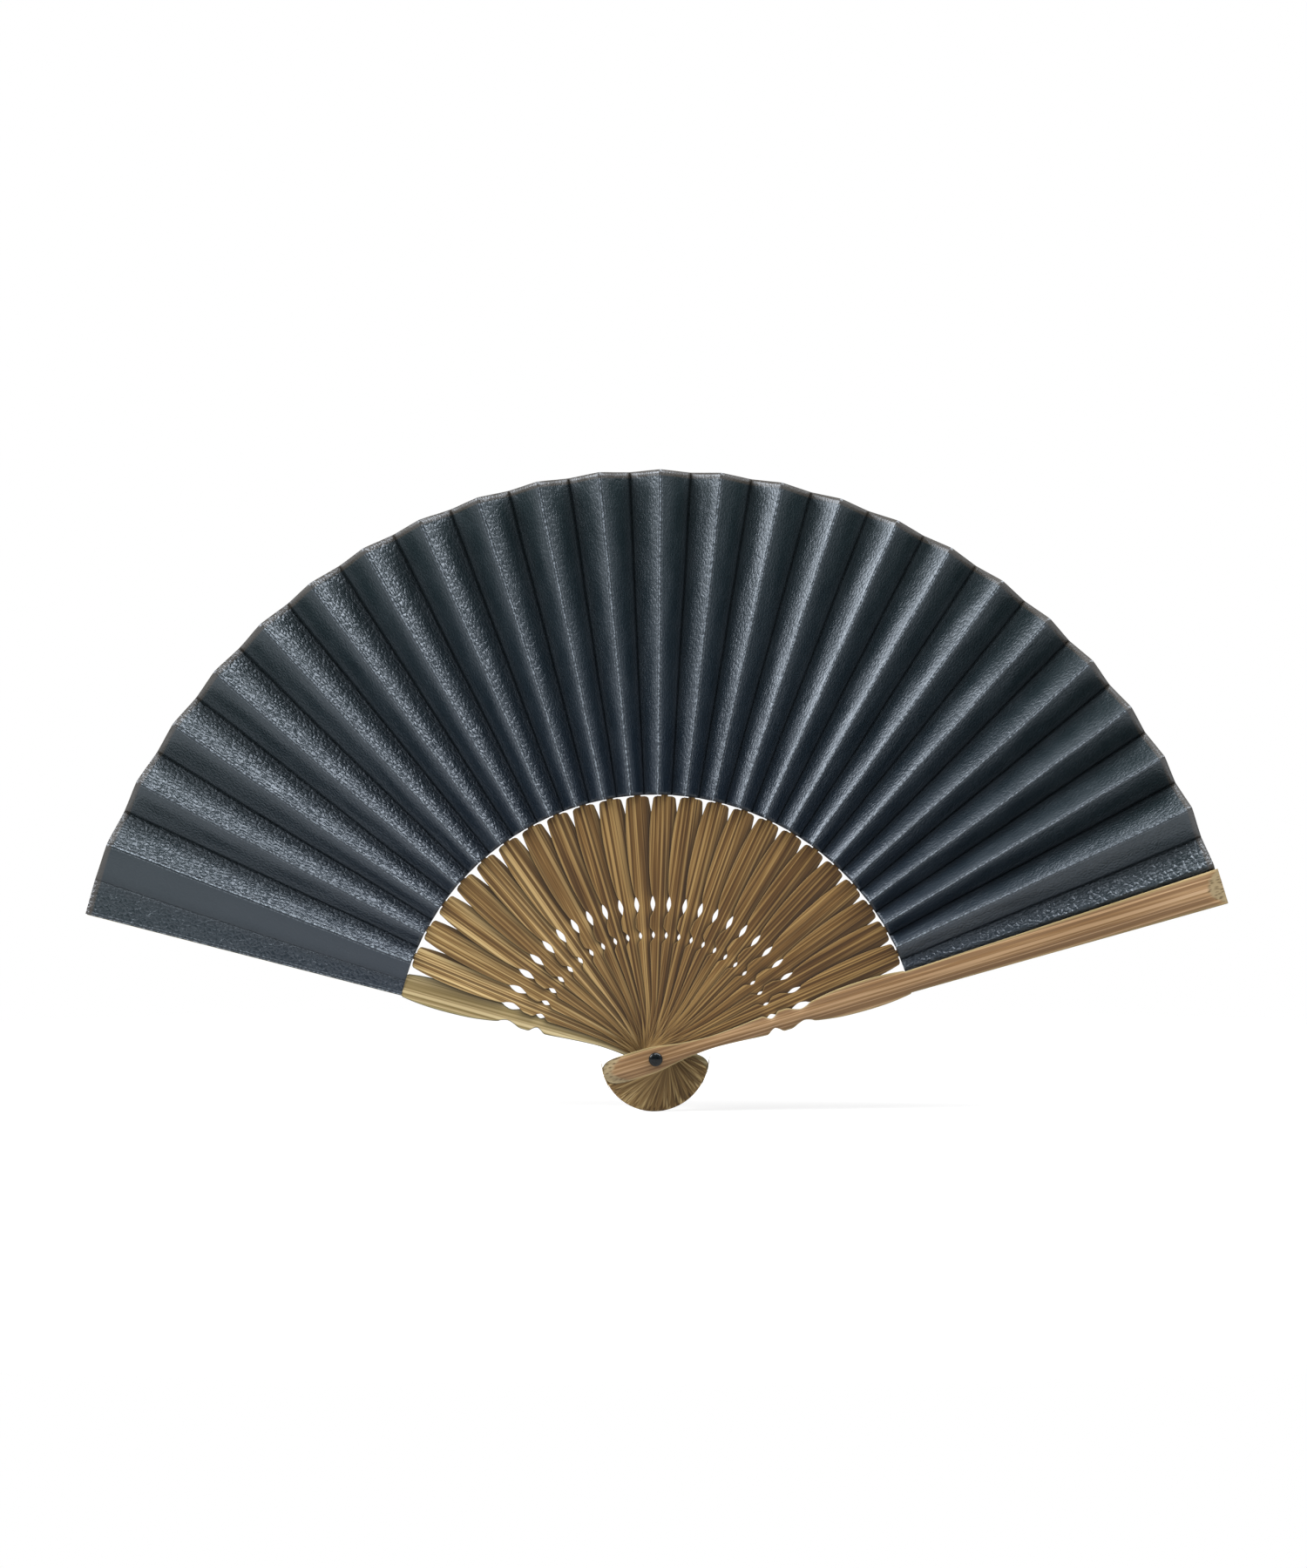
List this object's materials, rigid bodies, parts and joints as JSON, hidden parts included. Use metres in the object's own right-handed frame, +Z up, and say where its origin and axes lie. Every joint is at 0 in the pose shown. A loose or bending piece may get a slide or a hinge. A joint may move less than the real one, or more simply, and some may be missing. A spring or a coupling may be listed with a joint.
{
  "type": "folding fan",
  "caption": "Bamboo folding fan with pierced ribs, a dark pleated leaf and a domed rivet, which opens and closes about the rivet.",
  "frame": {"origin": "on the rivet's axis, in the middle of the stack of sticks, where a hand holds the fan", "axes": "+Y along the rivet, from the side that shows to the back; +Z up the middle of the open fan; +X to the viewer's right"},
  "size_m": [0.3729, 0.0227, 0.2094],
  "materials": {
    "front_guard_bamboo": "stained bamboo, oiled, satin, with fine straight fibres",
    "rear_guard_bamboo": "stained bamboo with a greener cast, satin",
    "rib_bamboo": "smoked bamboo, split thin, dull satin",
    "leaf_cloth": "dark blue-black coated cloth with a fine leathery grain",
    "rivet_metal": "gloss black enamel"
  },
  "bodies": {
    "root": {"rear_guard": "rear_guard_bamboo", "leaf_end_rear": "leaf_cloth", "rivet_pin": "rivet_metal", "rivet_cap_rear": "rivet_metal", "rivet_cap_front": "rivet_metal"},
    "front_guard": {"front_guard": "front_guard_bamboo", "leaf_end_front": "leaf_cloth"},
    "rib_01": {"rib_01": "rib_bamboo"},
    "rib_02": {"rib_02": "rib_bamboo"},
    "rib_03": {"rib_03": "rib_bamboo"},
    "rib_04": {"rib_04": "rib_bamboo"},
    "rib_05": {"rib_05": "rib_bamboo"},
    "rib_06": {"rib_06": "rib_bamboo"},
    "rib_07": {"rib_07": "rib_bamboo"},
    "rib_08": {"rib_08": "rib_bamboo"},
    "rib_09": {"rib_09": "rib_bamboo"},
    "rib_10": {"rib_10": "rib_bamboo"},
    "rib_11": {"rib_11": "rib_bamboo"},
    "rib_12": {"rib_12": "rib_bamboo"},
    "rib_13": {"rib_13": "rib_bamboo"},
    "rib_14": {"rib_14": "rib_bamboo"},
    "rib_15": {"rib_15": "rib_bamboo"},
    "rib_16": {"rib_16": "rib_bamboo"},
    "rib_17": {"rib_17": "rib_bamboo"},
    "rib_18": {"rib_18": "rib_bamboo"},
    "rib_19": {"rib_19": "rib_bamboo"},
    "rib_20": {"rib_20": "rib_bamboo"},
    "rib_21": {"rib_21": "rib_bamboo"},
    "rib_22": {"rib_22": "rib_bamboo"},
    "rib_23": {"rib_23": "rib_bamboo"},
    "pleat_00": {"pleat_00": "leaf_cloth"},
    "pleat_01": {"pleat_01": "leaf_cloth"},
    "pleat_02": {"pleat_02": "leaf_cloth"},
    "pleat_03": {"pleat_03": "leaf_cloth"},
    "pleat_04": {"pleat_04": "leaf_cloth"},
    "pleat_05": {"pleat_05": "leaf_cloth"},
    "pleat_06": {"pleat_06": "leaf_cloth"},
    "pleat_07": {"pleat_07": "leaf_cloth"},
    "pleat_08": {"pleat_08": "leaf_cloth"},
    "pleat_09": {"pleat_09": "leaf_cloth"},
    "pleat_10": {"pleat_10": "leaf_cloth"},
    "pleat_11": {"pleat_11": "leaf_cloth"},
    "pleat_12": {"pleat_12": "leaf_cloth"},
    "pleat_13": {"pleat_13": "leaf_cloth"},
    "pleat_14": {"pleat_14": "leaf_cloth"},
    "pleat_15": {"pleat_15": "leaf_cloth"},
    "pleat_16": {"pleat_16": "leaf_cloth"},
    "pleat_17": {"pleat_17": "leaf_cloth"},
    "pleat_18": {"pleat_18": "leaf_cloth"},
    "pleat_19": {"pleat_19": "leaf_cloth"},
    "pleat_20": {"pleat_20": "leaf_cloth"},
    "pleat_21": {"pleat_21": "leaf_cloth"},
    "pleat_22": {"pleat_22": "leaf_cloth"},
    "pleat_23": {"pleat_23": "leaf_cloth"}
  },
  "joints": [
    {"name": "front_guard_turn", "type": "hinge", "parent": "root", "child": "front_guard", "pos_m": [0, 0, 0], "axis": [0, -1, 0], "range_deg": [0, 147.31]},
    {"name": "rib_01_turn", "type": "hinge", "parent": "root", "child": "rib_01", "pos_m": [0, 0, 0], "axis": [0, -1, 0], "range_deg": [0, 6.82]},
    {"name": "rib_02_turn", "type": "hinge", "parent": "root", "child": "rib_02", "pos_m": [0, 0, 0], "axis": [0, -1, 0], "range_deg": [0, 13.53]},
    {"name": "rib_03_turn", "type": "hinge", "parent": "root", "child": "rib_03", "pos_m": [0, 0, 0], "axis": [0, -1, 0], "range_deg": [0, 20.14]},
    {"name": "rib_04_turn", "type": "hinge", "parent": "root", "child": "rib_04", "pos_m": [0, 0, 0], "axis": [0, -1, 0], "range_deg": [0, 26.67]},
    {"name": "rib_05_turn", "type": "hinge", "parent": "root", "child": "rib_05", "pos_m": [0, 0, 0], "axis": [0, -1, 0], "range_deg": [0, 33.11]},
    {"name": "rib_06_turn", "type": "hinge", "parent": "root", "child": "rib_06", "pos_m": [0, 0, 0], "axis": [0, -1, 0], "range_deg": [0, 39.47]},
    {"name": "rib_07_turn", "type": "hinge", "parent": "root", "child": "rib_07", "pos_m": [0, 0, 0], "axis": [0, -1, 0], "range_deg": [0, 45.76]},
    {"name": "rib_08_turn", "type": "hinge", "parent": "root", "child": "rib_08", "pos_m": [0, 0, 0], "axis": [0, -1, 0], "range_deg": [0, 51.97]},
    {"name": "rib_09_turn", "type": "hinge", "parent": "root", "child": "rib_09", "pos_m": [0, 0, 0], "axis": [0, -1, 0], "range_deg": [0, 58.12]},
    {"name": "rib_10_turn", "type": "hinge", "parent": "root", "child": "rib_10", "pos_m": [0, 0, 0], "axis": [0, -1, 0], "range_deg": [0, 64.22]},
    {"name": "rib_11_turn", "type": "hinge", "parent": "root", "child": "rib_11", "pos_m": [0, 0, 0], "axis": [0, -1, 0], "range_deg": [0, 70.27]},
    {"name": "rib_12_turn", "type": "hinge", "parent": "root", "child": "rib_12", "pos_m": [0, 0, 0], "axis": [0, -1, 0], "range_deg": [0, 76.27]},
    {"name": "rib_13_turn", "type": "hinge", "parent": "root", "child": "rib_13", "pos_m": [0, 0, 0], "axis": [0, -1, 0], "range_deg": [0, 82.25]},
    {"name": "rib_14_turn", "type": "hinge", "parent": "root", "child": "rib_14", "pos_m": [0, 0, 0], "axis": [0, -1, 0], "range_deg": [0, 88.19]},
    {"name": "rib_15_turn", "type": "hinge", "parent": "root", "child": "rib_15", "pos_m": [0, 0, 0], "axis": [0, -1, 0], "range_deg": [0, 94.11]},
    {"name": "rib_16_turn", "type": "hinge", "parent": "root", "child": "rib_16", "pos_m": [0, 0, 0], "axis": [0, -1, 0], "range_deg": [0, 100.01]},
    {"name": "rib_17_turn", "type": "hinge", "parent": "root", "child": "rib_17", "pos_m": [0, 0, 0], "axis": [0, -1, 0], "range_deg": [0, 105.89]},
    {"name": "rib_18_turn", "type": "hinge", "parent": "root", "child": "rib_18", "pos_m": [0, 0, 0], "axis": [0, -1, 0], "range_deg": [0, 111.75]},
    {"name": "rib_19_turn", "type": "hinge", "parent": "root", "child": "rib_19", "pos_m": [0, 0, 0], "axis": [0, -1, 0], "range_deg": [0, 117.59]},
    {"name": "rib_20_turn", "type": "hinge", "parent": "root", "child": "rib_20", "pos_m": [0, 0, 0], "axis": [0, -1, 0], "range_deg": [0, 123.4]},
    {"name": "rib_21_turn", "type": "hinge", "parent": "root", "child": "rib_21", "pos_m": [0, 0, 0], "axis": [0, -1, 0], "range_deg": [0, 129.19]},
    {"name": "rib_22_turn", "type": "hinge", "parent": "root", "child": "rib_22", "pos_m": [0, 0, 0], "axis": [0, -1, 0], "range_deg": [0, 134.94]},
    {"name": "rib_23_turn", "type": "hinge", "parent": "root", "child": "rib_23", "pos_m": [0, 0, 0], "axis": [0, -1, 0], "range_deg": [0, 140.66]},
    {"name": "pleat_00_fold", "type": "hinge", "parent": "root", "child": "pleat_00", "pos_m": [-0.08229, 0.00692, 0.02468], "axis": [0.9507, 0, -0.3101], "range_deg": [0, 162.35], "deforming": ["pleat_00"]},
    {"name": "pleat_01_fold", "type": "hinge", "parent": "rib_01", "child": "pleat_01", "pos_m": [-0.07825, 0.00694, 0.03557], "axis": [0.9108, -0.0122, -0.4127], "range_deg": [0, 144.81], "deforming": ["pleat_01"]},
    {"name": "pleat_02_fold", "type": "hinge", "parent": "rib_02", "child": "pleat_02", "pos_m": [-0.07357, 0.00634, 0.04443], "axis": [0.8566, -0.0126, -0.5158], "range_deg": [0, 143.65], "deforming": ["pleat_02"]},
    {"name": "pleat_03_fold", "type": "hinge", "parent": "rib_03", "child": "pleat_03", "pos_m": [-0.06798, 0.00573, 0.05259], "axis": [0.7917, -0.0129, -0.6107], "range_deg": [0, 142.57], "deforming": ["pleat_03"]},
    {"name": "pleat_04_fold", "type": "hinge", "parent": "rib_04", "child": "pleat_04", "pos_m": [-0.06158, 0.00512, 0.05996], "axis": [0.7175, -0.0133, -0.6964], "range_deg": [0, 141.54], "deforming": ["pleat_04"]},
    {"name": "pleat_05_fold", "type": "hinge", "parent": "rib_05", "child": "pleat_05", "pos_m": [-0.05449, 0.00451, 0.06646], "axis": [0.6353, -0.0136, -0.7721], "range_deg": [0, 139.03], "deforming": ["pleat_05"]},
    {"name": "pleat_06_fold", "type": "hinge", "parent": "rib_06", "child": "pleat_06", "pos_m": [-0.04685, 0.00382, 0.07205], "axis": [0.5467, -0.0129, -0.8372], "range_deg": [0, 138.11], "deforming": ["pleat_06"]},
    {"name": "pleat_07_fold", "type": "hinge", "parent": "rib_07", "child": "pleat_07", "pos_m": [-0.03875, 0.00313, 0.07671], "axis": [0.4526, -0.0122, -0.8916], "range_deg": [0, 137.29], "deforming": ["pleat_07"]},
    {"name": "pleat_08_fold", "type": "hinge", "parent": "rib_08", "child": "pleat_08", "pos_m": [-0.03028, 0.00242, 0.08043], "axis": [0.3542, -0.0115, -0.9351], "range_deg": [0, 136.57], "deforming": ["pleat_08"]},
    {"name": "pleat_09_fold", "type": "hinge", "parent": "rib_09", "child": "pleat_09", "pos_m": [-0.02154, 0.00172, 0.08319], "axis": [0.2528, -0.0106, -0.9675], "range_deg": [0, 135.95], "deforming": ["pleat_09"]},
    {"name": "pleat_10_fold", "type": "hinge", "parent": "rib_10", "child": "pleat_10", "pos_m": [-0.01263, 0.00101, 0.085], "axis": [0.1492, -0.0098, -0.9888], "range_deg": [0, 137.08], "deforming": ["pleat_10"]},
    {"name": "pleat_11_fold", "type": "hinge", "parent": "rib_11", "child": "pleat_11", "pos_m": [-0.00362, 0.00039, 0.08586], "axis": [0.0444, -0.0098, -0.999], "range_deg": [0, 136.66], "deforming": ["pleat_11"]},
    {"name": "pleat_12_fold", "type": "hinge", "parent": "rib_12", "child": "pleat_12", "pos_m": [0.00538, -0.00023, 0.08577], "axis": [-0.0602, -0.0099, -0.9981], "range_deg": [0, 136.31], "deforming": ["pleat_12"]},
    {"name": "pleat_13_fold", "type": "hinge", "parent": "rib_13", "child": "pleat_13", "pos_m": [0.01427, -0.00086, 0.08474], "axis": [-0.1637, -0.0099, -0.9865], "range_deg": [0, 136.02], "deforming": ["pleat_13"]},
    {"name": "pleat_14_fold", "type": "hinge", "parent": "rib_14", "child": "pleat_14", "pos_m": [0.02296, -0.00148, 0.08281], "axis": [-0.2648, -0.01, -0.9642], "range_deg": [0, 135.77], "deforming": ["pleat_14"]},
    {"name": "pleat_15_fold", "type": "hinge", "parent": "rib_15", "child": "pleat_15", "pos_m": [0.03137, -0.0021, 0.08], "axis": [-0.3628, -0.01, -0.9318], "range_deg": [0, 135.55], "deforming": ["pleat_15"]},
    {"name": "pleat_16_fold", "type": "hinge", "parent": "rib_16", "child": "pleat_16", "pos_m": [0.03943, -0.00272, 0.07636], "axis": [-0.4566, -0.01, -0.8896], "range_deg": [0, 135.34], "deforming": ["pleat_16"]},
    {"name": "pleat_17_fold", "type": "hinge", "parent": "rib_17", "child": "pleat_17", "pos_m": [0.04704, -0.00334, 0.07192], "axis": [-0.5452, -0.01, -0.8382], "range_deg": [0, 135.14], "deforming": ["pleat_17"]},
    {"name": "pleat_18_fold", "type": "hinge", "parent": "rib_18", "child": "pleat_18", "pos_m": [0.05413, -0.00397, 0.06674], "axis": [-0.6279, -0.01, -0.7783], "range_deg": [0, 134.92], "deforming": ["pleat_18"]},
    {"name": "pleat_19_fold", "type": "hinge", "parent": "rib_19", "child": "pleat_19", "pos_m": [0.06063, -0.00459, 0.0609], "axis": [-0.7037, -0.0101, -0.7104], "range_deg": [0, 134.67], "deforming": ["pleat_19"]},
    {"name": "pleat_20_fold", "type": "hinge", "parent": "rib_20", "child": "pleat_20", "pos_m": [0.06648, -0.00521, 0.05445], "axis": [-0.772, -0.0101, -0.6356], "range_deg": [0, 134.4], "deforming": ["pleat_20"]},
    {"name": "pleat_21_fold", "type": "hinge", "parent": "rib_21", "child": "pleat_21", "pos_m": [0.07163, -0.00584, 0.04747], "axis": [-0.832, -0.0101, -0.5546], "range_deg": [0, 134.08], "deforming": ["pleat_21"]},
    {"name": "pleat_22_fold", "type": "hinge", "parent": "rib_22", "child": "pleat_22", "pos_m": [0.07603, -0.00646, 0.04005], "axis": [-0.8834, -0.0102, -0.4685], "range_deg": [0, 134.35], "deforming": ["pleat_22"]},
    {"name": "pleat_23_fold", "type": "hinge", "parent": "rib_23", "child": "pleat_23", "pos_m": [0.07974, -0.00692, 0.03205], "axis": [-0.9273, -0.0103, -0.3743], "range_deg": [0, 163.95], "deforming": ["pleat_23"]}
  ],
  "couplings": [
    {"joint": "rib_01_turn", "follows": "front_guard_turn", "ratio": 0.046285},
    {"joint": "rib_02_turn", "follows": "front_guard_turn", "ratio": 0.091812},
    {"joint": "rib_03_turn", "follows": "front_guard_turn", "ratio": 0.13673},
    {"joint": "rib_04_turn", "follows": "front_guard_turn", "ratio": 0.18105},
    {"joint": "rib_05_turn", "follows": "front_guard_turn", "ratio": 0.22478},
    {"joint": "rib_06_turn", "follows": "front_guard_turn", "ratio": 0.26796},
    {"joint": "rib_07_turn", "follows": "front_guard_turn", "ratio": 0.31061},
    {"joint": "rib_08_turn", "follows": "front_guard_turn", "ratio": 0.35279},
    {"joint": "rib_09_turn", "follows": "front_guard_turn", "ratio": 0.39454},
    {"joint": "rib_10_turn", "follows": "front_guard_turn", "ratio": 0.43592},
    {"joint": "rib_11_turn", "follows": "front_guard_turn", "ratio": 0.47698},
    {"joint": "rib_12_turn", "follows": "front_guard_turn", "ratio": 0.51776},
    {"joint": "rib_13_turn", "follows": "front_guard_turn", "ratio": 0.55831},
    {"joint": "rib_14_turn", "follows": "front_guard_turn", "ratio": 0.59867},
    {"joint": "rib_15_turn", "follows": "front_guard_turn", "ratio": 0.63886},
    {"joint": "rib_16_turn", "follows": "front_guard_turn", "ratio": 0.6789},
    {"joint": "rib_17_turn", "follows": "front_guard_turn", "ratio": 0.71881},
    {"joint": "rib_18_turn", "follows": "front_guard_turn", "ratio": 0.75858},
    {"joint": "rib_19_turn", "follows": "front_guard_turn", "ratio": 0.79821},
    {"joint": "rib_20_turn", "follows": "front_guard_turn", "ratio": 0.83767},
    {"joint": "rib_21_turn", "follows": "front_guard_turn", "ratio": 0.87695},
    {"joint": "rib_22_turn", "follows": "front_guard_turn", "ratio": 0.91602},
    {"joint": "rib_23_turn", "follows": "front_guard_turn", "ratio": 0.95484},
    {"joint": "pleat_00_fold", "follows": "front_guard_turn", "ratio": 1.1021},
    {"joint": "pleat_01_fold", "follows": "front_guard_turn", "ratio": 0.98302},
    {"joint": "pleat_02_fold", "follows": "front_guard_turn", "ratio": 0.97512},
    {"joint": "pleat_03_fold", "follows": "front_guard_turn", "ratio": 0.9678},
    {"joint": "pleat_04_fold", "follows": "front_guard_turn", "ratio": 0.96085},
    {"joint": "pleat_05_fold", "follows": "front_guard_turn", "ratio": 0.94381},
    {"joint": "pleat_06_fold", "follows": "front_guard_turn", "ratio": 0.93756},
    {"joint": "pleat_07_fold", "follows": "front_guard_turn", "ratio": 0.93198},
    {"joint": "pleat_08_fold", "follows": "front_guard_turn", "ratio": 0.92708},
    {"joint": "pleat_09_fold", "follows": "front_guard_turn", "ratio": 0.92286},
    {"joint": "pleat_10_fold", "follows": "front_guard_turn", "ratio": 0.93052},
    {"joint": "pleat_11_fold", "follows": "front_guard_turn", "ratio": 0.92768},
    {"joint": "pleat_12_fold", "follows": "front_guard_turn", "ratio": 0.92532},
    {"joint": "pleat_13_fold", "follows": "front_guard_turn", "ratio": 0.92334},
    {"joint": "pleat_14_fold", "follows": "front_guard_turn", "ratio": 0.92166},
    {"joint": "pleat_15_fold", "follows": "front_guard_turn", "ratio": 0.92016},
    {"joint": "pleat_16_fold", "follows": "front_guard_turn", "ratio": 0.91877},
    {"joint": "pleat_17_fold", "follows": "front_guard_turn", "ratio": 0.91737},
    {"joint": "pleat_18_fold", "follows": "front_guard_turn", "ratio": 0.91587},
    {"joint": "pleat_19_fold", "follows": "front_guard_turn", "ratio": 0.91421},
    {"joint": "pleat_20_fold", "follows": "front_guard_turn", "ratio": 0.91232},
    {"joint": "pleat_21_fold", "follows": "front_guard_turn", "ratio": 0.91016},
    {"joint": "pleat_22_fold", "follows": "front_guard_turn", "ratio": 0.91199},
    {"joint": "pleat_23_fold", "follows": "front_guard_turn", "ratio": 1.1129}
  ]
}
